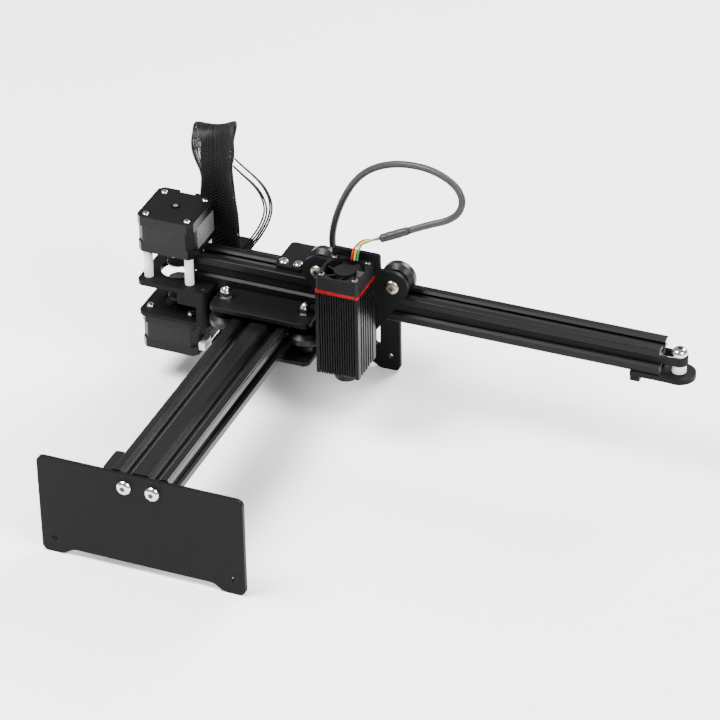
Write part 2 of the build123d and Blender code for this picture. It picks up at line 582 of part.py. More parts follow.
SLEEVE_ROUTE = [
    (-54, 256.5, 91), (-54, 256.5, 106), (-54.5, 255.8, 125), (-55.8, 256, 145), (-57.3, 257, 160),
    (-58.3, 259, 169), (-59.7, 262.6, 176.3), (-61.5, 268.6, 179.5), (-63.5, 275, 175.5), (-65, 278, 165),
    (-66, 279.2, 149), (-66, 278.6, 130), (-65, 277, 110), (-65, 277, 91),
]
save("cable_sleeve", flat_cord(SLEEVE_ROUTE, SLEEVE_W, SLEEVE_T))

WIRE_ROUTE = [(-43.3, 257, 158.3), (-37, 256.5, 153.2), (-29.9, 256, 148.6), (-22.8, 255.5, 141.5),
              (-18.7, 254.5, 130.5), (-21.3, 253, 119), (-27.7, 251, 107.5), (-34.9, 249, 98.5),
              (-40.5, 247.5, 91.5), (-46, 247, 84.5)]
WIRE_SHIFTS = [(0.0, 0.0, 0.0), (2.6, 1.5, -1.4), (6.8, 3.0, 4.2), (8.6, 4.5, 2.6)]


def wire_route(shift):
    """The same loop for each wire, started higher and ended further right."""
    last = len(WIRE_ROUTE) - 1
    route = []
    for i, (x, y, z) in enumerate(WIRE_ROUTE):
        along = i / last
        route.append((x + shift[0] * along, y + shift[1], z + shift[2] * (1 - along)))
    return route


save("sleeve_wires", *[cord("sleeve_wire", wire_route(shift), WIRE_R) for shift in WIRE_SHIFTS])


# ---- X carriage and laser module ----------------------------------------------------
SPOTS = [(name, x, CARRIER_WHEEL_Z) for name, x in X_WHEELS] + [("lower", LOW_WHEEL_X, LOW_WHEEL_Z)]
triangle = make_hull([(Pos(x, z) * Circle(EAR_R)).edge() for _, x, z in SPOTS])
MOUNT_X = (MODULE_X - 15.5, MODULE_X + 19.0)
MOUNT_LOW_W = 29.0
MOUNT_Z = (84.0, 100.0, 138.0)
MOUNT_SCREWS = [(MODULE_X - 12, 90.0), (MODULE_X + 12, 90.0), (MODULE_X - 12, 108.0), (MODULE_X + 12, 108.0)]
carrier = triangle
for _, x, z in SPOTS:
    carrier -= Pos(x, z) * Circle(M5_R)
for x, z in MOUNT_SCREWS:
    carrier -= Pos(x, z) * Circle(M3_R)
save("x_carriage_plate", upright(carrier, CARRIER_Y))

wheel_y = (GANTRY_Y - WHEEL_W / 2, GANTRY_Y + WHEEL_W / 2)
x_bolts = []
for name, x, z in SPOTS:
    save(f"x_wheel_{name}", *[Pos(x, GANTRY_Y, z) * Rot(90, 0, 0) * s for s in v_wheel()])
    bolt = button_screw(5.2, 2.4, M5_R, wheel_y[1] + 4.5 - CARRIER_Y[0])
    bolt = Pos(x, CARRIER_Y[0], z) * Rot(90, 0, 0) * bolt
    nut = Pos(x, wheel_y[1] + GAP, z) * Rot(-90, 0, 0) * extrude(RegularPolygon(4.6, 6), 4.0)
    nut -= pin_y(x, z, (wheel_y[1], wheel_y[1] + 8), M5_R)
    x_bolts += [bolt, pin_y(x, z, (CARRIER_Y[1], wheel_y[0] - GAP), 4.5, M5_R), nut]
save("x_wheel_bolts", *x_bolts)

clamp_x = (LOW_WHEEL_X - 8, LOW_WHEEL_X + 8)
save("belt_clamp", block(clamp_x, (CARRIER_Y[1], BEAM_FRONT + 2.8), (BEAM_Z - 2.8, BEAM_Z + 2.8)))

low, step, top = MOUNT_Z
mount = Pos(sum(MOUNT_X) / 2, (step + top) / 2) * RectangleRounded(MOUNT_X[1] - MOUNT_X[0], top - step, 2.0)
mount += Pos(MODULE_X, (low + top) / 2) * RectangleRounded(MOUNT_LOW_W, top - low, 2.0)
for x, z in MOUNT_SCREWS:
    mount -= Pos(x, z) * Circle(M3_R)
save("laser_mount_plate", upright(mount, (MODULE_BACK, CARRIER_Y[0])))


def heatsink():
    """Square block with fine fins front and back, wider fins at the sides, bored for the diode."""
    core = Rectangle(MODULE_W, MODULE_W)
    fine, wide = 16, 7
    for i in range(fine - 1):
        x = -MODULE_W / 2 + 2.2 + (MODULE_W - 4.4) * (i + 0.5) / (fine - 1)
        for side in (-1, 1):
            core -= Pos(x, side * MODULE_W / 2) * Rectangle(0.85, 5.0)
    for i in range(wide - 1):
        y = -MODULE_W / 2 + 3.6 + (MODULE_W - 7.2) * (i + 0.5) / (wide - 1)
        for side in (-1, 1):
            core -= Pos(side * MODULE_W / 2, y) * Rectangle(7.0, 2.1)
    core -= Circle(8.0)
    return core


save("laser_heatsink", Pos(MODULE_X, MODULE_Y, 0) * plate(heatsink(), MODULE_Z))
diode = post(MODULE_X, MODULE_Y, (MODULE_Z[0] + 1, MODULE_Z[1] - 16), 8.0)
diode -= post(MODULE_X, MODULE_Y, (MODULE_Z[0], MODULE_Z[0] + 12), 4.5 + FIT)
save("laser_diode", diode)
ring = post(MODULE_X, MODULE_Y, (MODULE_Z[0] - 9, MODULE_Z[0] - GAP), 8.0)
ring += post(MODULE_X, MODULE_Y, (MODULE_Z[0] - GAP, MODULE_Z[0] + 10), 4.5)
ring -= post(MODULE_X, MODULE_Y, (MODULE_Z[0] - 10, MODULE_Z[0] + 11), 3.0)
lens = post(MODULE_X, MODULE_Y, (MODULE_Z[0] - 2, MODULE_Z[0] + 1), 3.0)
save("focus_ring", ring, lens)

band = RectangleRounded(MODULE_W, MODULE_W, 1.0) - Circle(13.8)
save("laser_band", Pos(MODULE_X, MODULE_Y, 0) * plate(band, (MODULE_Z[1], FAN_Z)))

FAN_HOLE = 12.0
frame_outline = RectangleRounded(FAN_W, FAN_W, 2.5) - Circle(14.0)
for sx in (-1, 1):
    for sy in (-1, 1):
        frame_outline -= Pos(sx * FAN_HOLE, sy * FAN_HOLE) * Circle(M3_R)
fan = plate(frame_outline, (FAN_Z, FAN_Z + FAN_T))
for angle in (45, 135):
    fan += Pos(0, 0, FAN_Z + 0.75) * Rot(0, 0, angle) * Box(29.0, 2.0, 1.5)
fan += post(0, 0, (FAN_Z, FAN_Z + 1.5), 7.5)
fan += post(0, 0, (FAN_Z, FAN_Z + 7.0), 2.0)
save("fan_frame", Pos(MODULE_X, MODULE_Y, 0) * fan)


def fan_blade(angle):
    """One pitched blade from the hub outwards."""
    blade = Pos(9.6, 0, FAN_Z + 5.8) * Rot(34, 0, 0) * Box(7.2, 8.6, 0.9)
    keep = post(0, 0, (FAN_Z + 2.2, FAN_Z + 9.4), 13.4)
    return Rot(0, 0, angle) * (blade & keep)


BLADES = 7
fan_hub = post(0, 0, (FAN_Z + 2.0, FAN_Z + 9.6), 7.4) - post(0, 0, (FAN_Z, FAN_Z + 7.6), 2.0 + FIT)
fan_hub -= post(0, 0, (FAN_Z, FAN_Z + 6.4), 6.4)
fan_hub += post(0, 0, (FAN_Z + 2.0, FAN_Z + 7.6), 3.4, 2.0 + FIT)
for i in range(BLADES):
    fan_hub += fan_blade(360 * i / BLADES)
save("fan_rotor", Pos(MODULE_X, MODULE_Y, 0) * fan_hub)

module_screws = []
for sx in (-1, 1):
    for sy in (-1, 1):
        spot = Pos(MODULE_X + sx * FAN_HOLE, MODULE_Y + sy * FAN_HOLE, FAN_Z + FAN_T)
        module_screws.append(spot * button_screw(2.6, 1.8, M3_R, FAN_T))
for x, z in MOUNT_SCREWS:
    back = Pos(x, CARRIER_Y[1], z) * Rot(-90, 0, 0) * button_screw(2.8, 0.8, M3_R, CARRIER_Y[1] - MODULE_BACK)
    module_screws.append(back)
save("module_screws", *module_screws)

# Three thin leads run from the fan to the shrink tube, and the cable goes on to the gland.
SHRINK_START, SHRINK_END = (79.3, 224.3, 144.55), (98, 228.5, 152.5)
CABLE_ROUTE = [
    SHRINK_END, (112, 231.65, 158.45), (123, 234, 162), (131, 236, 168), (133.5, 238, 177),
    (129, 240, 185.5), (119, 242, 191), (107, 244, 193.5), (94, 246, 193), (81, 247.5, 190.5),
    (69, 249, 185.5), (58, 250, 178), (49, 250.5, 167.5), (41.5, 251.5, 153.5), (35.5, 253.5, 138.5),
    (31, 256.5, 123.5), (28.2, 261, 110), (27, 267.5, 98), (27, 272, 85), (27, 273, 71.5),
    (31.1, 273, 65.8), (37.8, 273, 63.6), (44.5, 273, 65.8), (48.6, 273, 71.5), (48.4, 272.6, 80),
    (48, 272, 88.4), (48, 268.8, 94), (GLAND_X, 263.2, GLAND_Z), (GLAND_X, housing_back + 1, GLAND_Z),
]
save("laser_cable", cord("laser_cable", CABLE_ROUTE, CABLE_R))
shrink_axis = Vector(*SHRINK_END) - Vector(*SHRINK_START)
shrink_plane = Plane(origin=SHRINK_START, z_dir=shrink_axis)
save("heat_shrink", extrude(shrink_plane * Circle(SHRINK_R), shrink_axis.length))
leads = []
axis = shrink_axis.normalized()
lead_foot = FAN_Z + FAN_T
for side in (-1, 0, 1):
    x = MODULE_X + 1.8 + 2.0 * side
    finish = Vector(*SHRINK_START) + Vector(0, 1.4 * side, 0.5 * side * side)
    before = finish - axis * 3.5
    route = [(x, 210.6, lead_foot), (x + 0.3, 210.8, lead_foot + 5.5), (x + 2, 212.8, lead_foot + 11 + side),
             (x + 6, 217, lead_foot + 13 - 0.5 * side), tuple(before), tuple(finish)]
    leads.append(cord("laser_lead", route, WIRE_R))
save("laser_leads", *leads)
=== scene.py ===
import math

import bmesh
import bpy
from mathutils import Matrix, Vector


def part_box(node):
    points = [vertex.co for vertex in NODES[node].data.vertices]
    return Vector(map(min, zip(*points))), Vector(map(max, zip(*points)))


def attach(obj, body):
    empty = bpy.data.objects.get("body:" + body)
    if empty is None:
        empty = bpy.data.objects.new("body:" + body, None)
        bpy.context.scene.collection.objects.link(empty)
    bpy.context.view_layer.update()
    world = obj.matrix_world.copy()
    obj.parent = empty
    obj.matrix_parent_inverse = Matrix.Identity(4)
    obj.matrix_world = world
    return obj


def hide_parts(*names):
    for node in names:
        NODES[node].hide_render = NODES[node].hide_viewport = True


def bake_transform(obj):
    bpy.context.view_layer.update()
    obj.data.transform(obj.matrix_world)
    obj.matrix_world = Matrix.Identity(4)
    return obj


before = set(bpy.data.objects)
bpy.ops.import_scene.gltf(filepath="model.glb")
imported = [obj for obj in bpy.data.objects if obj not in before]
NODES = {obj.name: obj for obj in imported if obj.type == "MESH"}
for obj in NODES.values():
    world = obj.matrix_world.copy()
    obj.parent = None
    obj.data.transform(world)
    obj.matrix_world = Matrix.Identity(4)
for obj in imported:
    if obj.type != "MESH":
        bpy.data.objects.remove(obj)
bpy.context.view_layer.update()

# ---- places: everything is measured from the rail's centreline and the front plate's face
rail_low, rail_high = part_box("y_beam")
DATUM = Vector(((rail_low[0] + rail_high[0]) / 2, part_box("front_foot_plate")[0][1], 0))


def at(x, y, z):
    """A point given in metres from the datum, in the machine's frame."""
    return DATUM + Vector((x, y, z))


# ---- node materials -----------------------------------------------------------------
def new_material(name):
    """An empty node material, with its nodes, links and main shader."""
    mat = bpy.data.materials.new(name)
    mat.use_nodes = True
    return mat, mat.node_tree.nodes, mat.node_tree.links, mat.node_tree.nodes["Principled BSDF"]


def grain(nodes, links, scale, stretch=(1, 1, 1), detail=4.0):
    """Noise in object space, stretched along an axis for brushed or drawn metal."""
    coords = nodes.new("ShaderNodeTexCoord")
    mapping = nodes.new("ShaderNodeMapping")
    mapping.inputs["Scale"].default_value = stretch
    noise = nodes.new("ShaderNodeTexNoise")
    noise.inputs["Scale"].default_value = scale
    noise.inputs["Detail"].default_value = detail
    links.new(coords.outputs["Object"], mapping.inputs["Vector"])
    links.new(mapping.outputs["Vector"], noise.inputs["Vector"])
    return noise


def ramp(nodes, links, factor, low, high, start=0.3, end=0.7):
    """A two-colour ramp driven by a texture."""
    node = nodes.new("ShaderNodeValToRGB")
    node.color_ramp.elements[0].position = start
    node.color_ramp.elements[1].position = end
    node.color_ramp.elements[0].color = (*low, 1)
    node.color_ramp.elements[1].color = (*high, 1)
    links.new(factor, node.inputs["Fac"])
    return node


def span(nodes, links, factor, low, high):
    """Map a 0 to 1 texture to a range, as for roughness."""
    node = nodes.new("ShaderNodeMapRange")
    node.inputs["To Min"].default_value = low
    node.inputs["To Max"].default_value = high
    links.new(factor, node.inputs["Value"])
    return node.outputs["Result"]


def bump(nodes, links, bsdf, height, strength, distance):
    """Raise the surface by a texture, to a distance in metres."""
    node = nodes.new("ShaderNodeBump")
    node.inputs["Strength"].default_value = strength
    node.inputs["Distance"].default_value = distance
    links.new(height, node.inputs["Height"])
    links.new(node.outputs["Normal"], bsdf.inputs["Normal"])


def coated(name, low, high, rough, scale, stretch=(1, 1, 1), depth=0.00003, specular=0.2,
           metallic=0.0):
    """A coated or moulded surface: two close tones, uneven gloss and a fine texture."""
    mat, nodes, links, bsdf = new_material(name)
    fine = grain(nodes, links, scale, stretch)
    broad = grain(nodes, links, scale * 0.06, (1, 1, 1), 2.0)
    tone = ramp(nodes, links, fine.outputs["Fac"], low, high)
    links.new(tone.outputs["Color"], bsdf.inputs["Base Color"])
    links.new(span(nodes, links, broad.outputs["Fac"], *rough), bsdf.inputs["Roughness"])
    bsdf.inputs["Metallic"].default_value = metallic
    bsdf.inputs["Specular IOR Level"].default_value = specular
    bump(nodes, links, bsdf, fine.outputs["Fac"], 0.35, depth)
    return mat


def grey(value, tint=0.0):
    """A neutral colour, a little bluer or warmer by the tint."""
    return (value, value, value * (1 + tint))


def anodised_along(name, stretch, rough, specular):
    """Black anodised extrusion, with die lines along its length."""
    return coated(name, grey(0.003, 0.1), grey(0.005, 0.15), rough, 900, stretch, 0.00001, specular)


def metal(name, low, high, rough, scale, stretch, depth):
    """Bare or plated metal with machining marks along one axis."""
    return coated(name, low, high, rough, scale, stretch, depth, specular=0.5, metallic=1.0)


def laminations():
    """Stack of varnished steel laminations, seen as fine level lines."""
    mat, nodes, links, bsdf = new_material("black_laminations")
    coords = nodes.new("ShaderNodeTexCoord")
    wave = nodes.new("ShaderNodeTexWave")
    wave.bands_direction = "Z"
    wave.inputs["Scale"].default_value = 320
    wave.inputs["Distortion"].default_value = 0.3
    links.new(coords.outputs["Object"], wave.inputs["Vector"])
    spots = grain(nodes, links, 500)
    tone = ramp(nodes, links, spots.outputs["Fac"], grey(0.003), grey(0.006))
    links.new(tone.outputs["Color"], bsdf.inputs["Base Color"])
    links.new(span(nodes, links, wave.outputs["Fac"], 0.3, 0.5), bsdf.inputs["Roughness"])
    bsdf.inputs["Specular IOR Level"].default_value = 0.15
    bump(nodes, links, bsdf, wave.outputs["Fac"], 0.5, 0.0001)
    return mat


def red_acrylic():
    """Clear red plastic, glossy, with slight clouding."""
    return coated("red_acrylic", (0.14, 0.001, 0.003), (0.2, 0.002, 0.005), (0.2, 0.3), 300,
                  specular=0.2)


def insulation(name, low, high):
    """Soft satin plastic round a wire or cable."""
    return coated(name, low, high, (0.35, 0.5), 900, specular=0.22)


def label_film():
    """Blank silver-grey label, satin, slightly mottled."""
    return coated("silver_label", grey(0.05), grey(0.11), (0.3, 0.45), 900, specular=0.35)


def within(nodes, links, centre, axis, radius):
    """1 inside a cylinder round an axis through a point, 0 outside it."""
    coords = nodes.new("ShaderNodeTexCoord")
    offset = nodes.new("ShaderNodeVectorMath")
    offset.operation = "SUBTRACT"
    offset.inputs[1].default_value = centre
    flat = nodes.new("ShaderNodeVectorMath")
    flat.operation = "MULTIPLY"
    flat.inputs[1].default_value = [0.0 if a == axis else 1.0 for a in "XYZ"]
    length = nodes.new("ShaderNodeVectorMath")
    length.operation = "LENGTH"
    inside = nodes.new("ShaderNodeMath")
    inside.operation = "LESS_THAN"
    inside.inputs[1].default_value = radius
    links.new(coords.outputs["Object"], offset.inputs[0])
    links.new(offset.outputs[0], flat.inputs[0])
    links.new(flat.outputs[0], length.inputs[0])
    links.new(length.outputs["Value"], inside.inputs[0])
    return inside.outputs[0]


def facing(nodes, links, axis, least):
    """1 on faces that point along +axis, as on a saw cut."""
    geometry = nodes.new("ShaderNodeNewGeometry")
    parts = nodes.new("ShaderNodeSeparateXYZ")
    test = nodes.new("ShaderNodeMath")
    test.operation = "GREATER_THAN"
    test.inputs[1].default_value = least
    links.new(geometry.outputs["Normal"], parts.inputs[0])
    links.new(parts.outputs[axis], test.inputs[0])
    return test.outputs[0]


def two_parts(mat, mask, low, high, metallic, rough):
    """Give the masked part of a material another colour, metalness and gloss."""
    nodes, links = mat.node_tree.nodes, mat.node_tree.links
    bsdf = nodes["Principled BSDF"]
    factor = mask(nodes, links)
    speckle = grain(nodes, links, 800)
    tone = ramp(nodes, links, speckle.outputs["Fac"], low, high)
    mix = nodes.new("ShaderNodeMix")
    mix.data_type = "RGBA"
    links.new(factor, mix.inputs["Factor"])
    links.new(bsdf.inputs["Base Color"].links[0].from_socket, mix.inputs["A"])
    links.new(tone.outputs["Color"], mix.inputs["B"])
    links.new(mix.outputs["Result"], bsdf.inputs["Base Color"])
    for socket, value in (("Metallic", metallic), ("Roughness", rough)):
        blend = nodes.new("ShaderNodeMix")
        links.new(factor, blend.inputs["Factor"])
        if bsdf.inputs[socket].is_linked:
            links.new(bsdf.inputs[socket].links[0].from_socket, blend.inputs["A"])
        else:
            blend.inputs["A"].default_value = bsdf.inputs[socket].default_value
        blend.inputs["B"].default_value = value
        links.new(blend.outputs["Result"], bsdf.inputs[socket])
    return mat


BEARING_R = 0.00803
LENS_R = 0.00297
SHAFT_CENTRE_R = 0.0017


def round_core(node, axis, radius):
    """A mask over the middle of a turned part, inside a radius round its axis."""
    low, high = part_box(node)
    centre = [(a + b) / 2 for a, b in zip(low, high)]
    return lambda nodes, links: within(nodes, links, centre, axis, radius)


def wheel_material(node, axis):
    """Black acetal tyre with dark steel bearings inside its bore."""
    mat = coated(f"{node}_acetal", grey(0.003), grey(0.006), (0.3, 0.42), 1200, specular=0.22)
    return two_parts(mat, round_core(node, axis, BEARING_R), grey(0.07), grey(0.11), 1.0, 0.3)


RAIL_BLACK = anodised_along("anodised_rail", (1, 0.02, 1), (0.22, 0.28), 0.3)
ARM_BLACK = anodised_along("anodised_arm", (0.02, 1, 1), (0.34, 0.42), 0.1)
SINK_BLACK = anodised_along("anodised_heatsink", (1, 1, 0.02), (0.3, 0.4), 0.13)
POWDER = coated("black_powder_coat", grey(0.0025), grey(0.005, 0.1), (0.4, 0.55), 2600,
                depth=0.00004, specular=0.07)
PAINT = coated("black_motor_paint", grey(0.002), grey(0.004), (0.2, 0.32), 1500,
               depth=0.00001, specular=0.14)
MOULDED = coated("black_moulding", grey(0.003), grey(0.006), (0.4, 0.55), 1900,
                 depth=0.00002, specular=0.12)
RUBBER = coated("black_belt_rubber", grey(0.005), grey(0.009), (0.62, 0.78), 2400,
                depth=0.00004, specular=0.1)
NYLON = coated("white_nylon", grey(0.68, -0.04), grey(0.78, -0.05), (0.35, 0.5), 700, specular=0.4)
STACK = laminations()
RED = red_acrylic()
CHROME = metal("chrome", (0.5, 0.48, 0.45), (0.62, 0.6, 0.57), (0.08, 0.2), 420,
               (1, 1, 1), 0.00001)
NICKEL = metal("nickel_steel", (0.5, 0.48, 0.44), (0.62, 0.6, 0.56), (0.18, 0.32), 600,
               (1, 1, 0.05), 0.00002)
DARK_STEEL = metal("dark_screw_steel", grey(0.06), grey(0.1), (0.25, 0.4), 500,
                   (1, 1, 1), 0.00002)
BRONZED = metal("dull_nickel", (0.2, 0.18, 0.15), (0.32, 0.29, 0.25), (0.25, 0.4), 500,
                (1, 1, 1), 0.00002)
TURNED = metal("turned_aluminium", grey(0.55, 0.02), grey(0.7, 0.02), (0.22, 0.36), 900,
               (1, 1, 0.03), 0.00003)
BOARD = coated("green_board", (0.01, 0.06, 0.02), (0.015, 0.1, 0.035), (0.3, 0.4), 300,
               specular=0.4)
LABEL = label_film()

# the arm's sawn end shows bare aluminium
two_parts(ARM_BLACK, lambda nodes, links: facing(nodes, links, "X", 0.95),
          grey(0.5), grey(0.75), 1.0, 0.35)

MATERIALS = {
    RAIL_BLACK: ["y_beam"],
    ARM_BLACK: ["x_beam"],
    SINK_BLACK: ["laser_heatsink"],
    POWDER: ["front_foot_plate", "rear_foot_plate", "carriage_top_plate",
             "carriage_bottom_plate", "upper_motor_plate", "lower_motor_plate",
             "motor_plate_rib", "idler_bracket", "control_bracket", "x_carriage_plate",
             "laser_mount_plate"],
    PAINT: ["x_motor_caps", "y_motor_caps"],
    STACK: ["x_motor_stator", "y_motor_stator"],
    MOULDED: ["spacer_sleeves", "belt_anchors", "control_housing", "cable_clamps",
              "belt_clamp", "fan_frame", "fan_rotor"],
    RUBBER: ["x_belt", "y_belt", "y_belt_loop"],
    NYLON: ["nylon_spacers", "motor_sockets", "x_idler_roller"],
    CHROME: ["base_screws", "acorn_nuts", "gantry_screws", "idler_axles"],
    DARK_STEEL: ["module_screws"],
    BRONZED: ["x_wheel_bolts"],
    NICKEL: ["wheel_bolts"],
    TURNED: ["x_pulley", "y_pulley", "y_idler_front", "y_idler_rear", "laser_diode"],
    BOARD: ["control_board"],
    RED: ["laser_band"],
}


def coat_node(name, mat):
    """Give a carried-over node one material."""
    obj = NODES[name]
    obj.data.materials.clear()
    obj.data.materials.append(mat)


def focus_material():
    """Black anodised ring with a violet-coated lens across its bore."""
    mask = round_core("focus_ring", "Z", LENS_R)
    mat = anodised_along("focus_ring_anodised", (1, 1, 0.02), (0.3, 0.4), 0.13)
    return two_parts(mat, mask, (0.05, 0.03, 0.16), (0.03, 0.07, 0.14), 0.0, 0.05)


def shaft_material(node):
    """Dark ground steel with a bright centre on the shaft's end."""
    mat = metal(f"{node}_steel", grey(0.03), grey(0.06), (0.3, 0.45), 600, (1, 1, 0.05), 0.00001)
    return two_parts(mat, round_core(node, "Z", SHAFT_CENTRE_R), grey(0.6), grey(0.7), 1.0, 0.3)


for mat, names in MATERIALS.items():
    for name in names:
        coat_node(name, mat)
coat_node("focus_ring", focus_material())
for name in NODES:
    if name.endswith("_motor_rotor"):
        coat_node(name, shaft_material(name))
    elif name.startswith("y_wheel_"):
        coat_node(name, wheel_material(name, "Z"))
    elif name.startswith("x_wheel_") and name != "x_wheel_bolts":
        coat_node(name, wheel_material(name, "Y"))


# ---- mesh helpers -------------------------------------------------------------------
def mesh_object(name, verts, faces, mat, smooth=True):
    """A mesh with its faces turned outwards, added to the scene."""
    data = bpy.data.meshes.new(name)
    data.from_pydata([tuple(v) for v in verts], [], faces)
    data.materials.append(mat)
    obj = bpy.data.objects.new(name, data)
    bpy.context.scene.collection.objects.link(obj)
    bm = bmesh.new()
    bm.from_mesh(data)
    bmesh.ops.recalc_face_normals(bm, faces=bm.faces)
    bm.to_mesh(data)
    bm.free()
    for poly in data.polygons:
        poly.use_smooth = smooth
    return obj


def route_curve(name, route, resolution=12):
    """A NURBS spline whose control points are a cord's route."""
    curve = bpy.data.curves.new(name, "CURVE")
    curve.dimensions = "3D"
    curve.resolution_u = resolution
    spline = curve.splines.new("NURBS")
    spline.points.add(len(route) - 1)
    for point, place in zip(spline.points, route):
        point.co = (*at(*place), 1)
    spline.order_u = 3
    spline.use_endpoint_u = True
    obj = bpy.data.objects.new(name, curve)
    bpy.context.scene.collection.objects.link(obj)
    return obj


def line_of(route, resolution=12):
    """Points read from the route's NURBS spline."""
    obj = route_curve("route", route, resolution)
    bpy.context.view_layer.update()
    data = bpy.data.meshes.new_from_object(obj)
    line = [v.co.copy() for v in data.vertices]
    bpy.data.objects.remove(obj)
    bpy.data.meshes.remove(data)
    return line


def frames(line, side):
    """Tangent, side and normal at each point; the side stays near a given direction."""
    found = []
    for i, point in enumerate(line):
        ahead = line[min(i + 1, len(line) - 1)] - line[max(i - 1, 0)]
        tangent = ahead.normalized()
        across = (side - side.dot(tangent) * tangent).normalized()
        found.append((point, tangent, across, tangent.cross(across)))
    return found


def sweep_ring(name, line, side, ring, mat):
    """Skin a ring of (across, normal) offsets, given for each point, along a line."""
    verts, faces = [], []
    places = frames(line, side)
    count = len(ring(0.0))
    for i, (point, _, across, normal) in enumerate(places):
        for u, v in ring(i / (len(places) - 1)):
            verts.append(point + across * u + normal * v)
    for i in range(len(places) - 1):
        for j in range(count):
            k = (j + 1) % count
            faces.append((i * count + j, i * count + k,
                          (i + 1) * count + k, (i + 1) * count + j))
    faces.append(tuple(range(count)))
    faces.append(tuple((len(places) - 1) * count + j for j in range(count)))
    return mesh_object(name, verts, faces, mat)


def round_ring(radius, sides=16):
    """A circle as a ring of offsets."""
    angles = [2 * math.pi * j / sides for j in range(sides)]
    return [(radius * math.cos(a), radius * math.sin(a)) for a in angles]


def cord_curve(name, route, radius, mat):
    """A thin round wire along a route."""
    obj = route_curve(name, route)
    obj.data.bevel_depth = radius
    obj.data.bevel_resolution = 3
    obj.data.use_fill_caps = True
    obj.data.materials.append(mat)
    return obj


def line_length(line):
    """The length of a run of points."""
    return sum((b - a).length for a, b in zip(line, line[1:]))


# ---- camera -------------------------------------------------------------------------
AZIMUTH, ELEVATION, ROLL = (math.radians(d) for d in (22.49, 33.48, -0.91))
CAMERA_AT = at(0.8145, -1.5911, 1.3422)
SENSOR, LENS_MM = 36.0, 170.34

back = Vector((math.sin(AZIMUTH) * math.cos(ELEVATION),
               -math.cos(AZIMUTH) * math.cos(ELEVATION), math.sin(ELEVATION)))
level_right = (-back).cross(Vector((0, 0, 1))).normalized()
level_up = back.cross(level_right)
right = level_right * math.cos(ROLL) + level_up * math.sin(ROLL)
up = level_up * math.cos(ROLL) - level_right * math.sin(ROLL)
camera = bpy.data.objects.new("camera", bpy.data.cameras.new("camera"))
camera.data.lens = LENS_MM
camera.data.sensor_width = SENSOR
camera.data.clip_end = 20
camera.matrix_world = Matrix((right, up, back)).transposed().to_4x4()
camera.matrix_world.translation = CAMERA_AT
bpy.context.scene.collection.objects.link(camera)
bpy.context.scene.camera = camera


# ---- cords --------------------------------------------------------------------------
CABLE_ROUTE = [
    (0.098, 0.2285, 0.1525), (0.112, 0.23165, 0.15845), (0.123, 0.234, 0.162),
    (0.131, 0.236, 0.168), (0.1335, 0.238, 0.177), (0.129, 0.240, 0.1855),
    (0.119, 0.242, 0.191), (0.107, 0.244, 0.1935), (0.094, 0.246, 0.193),
    (0.081, 0.2475, 0.1905), (0.069, 0.249, 0.1855), (0.058, 0.250, 0.178),
    (0.049, 0.2505, 0.1675), (0.0415, 0.2515, 0.1535), (0.0355, 0.2535, 0.1385),
    (0.031, 0.2565, 0.1235), (0.0282, 0.261, 0.110), (0.027, 0.2675, 0.098),
    (0.027, 0.272, 0.085), (0.027, 0.273, 0.0715), (0.0311, 0.273, 0.0658),
    (0.0378, 0.273, 0.0636), (0.0445, 0.273, 0.0658), (0.0486, 0.273, 0.0715),
    (0.0484, 0.2726, 0.080), (0.048, 0.272, 0.0884), (0.048, 0.2688, 0.094),
    (0.048, 0.2632, 0.0972), (0.048, 0.2575, 0.0972),
]
CABLE_D = 0.0048
JACKET = insulation("grey_cable_jacket", grey(0.022, 0.04), grey(0.034, 0.05))
cable_line = line_of(CABLE_ROUTE)
cable = sweep_ring("laser_cable_jacket", cable_line, Vector((0, 1, 0)),
                   lambda t: round_ring(CABLE_D / 2), JACKET)
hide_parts("laser_cable")
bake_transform(cable)

SHRINK_ENDS = (0.0793, 0.2243, 0.14455), (0.098, 0.2285, 0.1525)
SHRINK_R = 0.0031
tube_start, tube_end = (at(*p) for p in SHRINK_ENDS)
shrink_line = [tube_start.lerp(tube_end, i / 24) for i in range(25)]


def shrink_ring(t):
    """Shrunk tube: rounded lip at each end, slight lumps where the leads lie inside."""
    lip = min(1.0, 0.78 + 4 * min(t, 1 - t))
    lump = 1 - 0.03 * (1 - math.cos(t * 19)) - 0.12 * max(0.0, t - 0.7)
    return round_ring(SHRINK_R * lip * lump, 20)


shrink = sweep_ring("shrink_tube", shrink_line, Vector((0, 0, 1)), shrink_ring,
                    insulation("grey_shrink_tube", grey(0.016, 0.04), grey(0.026, 0.05)))
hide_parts("heat_shrink")
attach(shrink, "x_carriage")

LEADS = [
    ("red", (0.3, 0.01, 0.01),
     [(0.0637, 0.2106, 0.1325), (0.064, 0.2108, 0.138), (0.0657, 0.2128, 0.1425),
      (0.0697, 0.217, 0.146), (0.07615, 0.22219, 0.14371), (0.0793, 0.2229, 0.14505)]),
    ("yellow", (0.5, 0.3, 0.02),
     [(0.0657, 0.2106, 0.1325), (0.066, 0.2108, 0.138), (0.0677, 0.2128, 0.1435),
      (0.0717, 0.217, 0.1455), (0.07615, 0.22359, 0.14321), (0.0793, 0.2243, 0.14455)]),
    ("green", (0.02, 0.17, 0.06),
     [(0.0677, 0.2106, 0.1325), (0.068, 0.2108, 0.138), (0.0697, 0.2128, 0.1445),
      (0.0737, 0.217, 0.145), (0.07615, 0.22499, 0.14371), (0.0793, 0.2257, 0.14505)]),
]
WIRE_D = 0.0013
SHORTEST_CORD = 0.03
for colour, shade, route in LEADS:
    pale = [min(1.0, c * 1.4) for c in shade]
    lead = cord_curve(f"lead_{colour}", route, WIRE_D / 2,
                      insulation(f"{colour}_insulation", shade, pale))
    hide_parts("laser_leads")
    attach(lead, "x_carriage")
    max(SHORTEST_CORD, line_length(line_of(route)))

